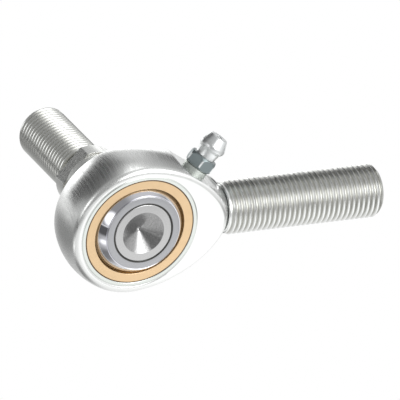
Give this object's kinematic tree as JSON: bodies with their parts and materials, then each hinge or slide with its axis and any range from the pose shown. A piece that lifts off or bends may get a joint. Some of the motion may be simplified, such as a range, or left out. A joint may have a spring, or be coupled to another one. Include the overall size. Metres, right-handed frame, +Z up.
{
  "type": "rod end bearing",
  "caption": "Male rod end bearing: threaded shank, eye with bronze race and chromed ball, a threaded ball stud with wrench flats, and a grease nipple.",
  "frame": {"origin": "centre of the ball, where the shank axis meets the housing bore axis", "axes": "+X out along the threaded shank; Y along the housing bore, +Y towards the stud's thread, -Y towards the riveted face of the ball; +Z up"},
  "size_m": [0.08, 0.0599, 0.0376],
  "materials": {
    "zinc_plated_steel": "bright zinc plate over turned and milled steel",
    "bearing_bronze": "machined bearing bronze",
    "chromed_steel": "hard chrome, mirror polished, with ground flats",
    "stud_steel": "bright zinc plate, turned",
    "nipple_steel": "zinc plated, turned",
    "polished_steel": "polished bearing ball",
    "spring_wire": "drawn spring wire"
  },
  "bodies": {
    "housing": {"rod_end_body": "zinc_plated_steel", "race_insert_front": "bearing_bronze", "race_insert_rear": "bearing_bronze", "nipple_body": "nipple_steel", "nipple_spring": "spring_wire"},
    "ball": {"ball": "chromed_steel"},
    "stud": {"stud": "stud_steel"},
    "check_ball": {"nipple_check_ball": "polished_steel"}
  },
  "joints": [
    {"name": "stud_tilt", "type": "hinge", "parent": "housing", "child": "ball", "pos_m": [0, 0, 0], "axis": [1, 0, 0], "range_deg": [-20, 30]},
    {"name": "stud_spin", "type": "hinge", "parent": "ball", "child": "stud", "pos_m": [0, 0, 0], "axis": [0, 0.9962, -0.0872], "continuous": true},
    {"name": "check_ball_slide", "type": "slide", "parent": "housing", "child": "check_ball", "axis": [-0.5592, 0, -0.829], "range_m": [0, 0.0009], "stiffness_N_per_m": 400, "springref_m": -0.002, "deforming": ["nipple_spring"]}
  ]
}
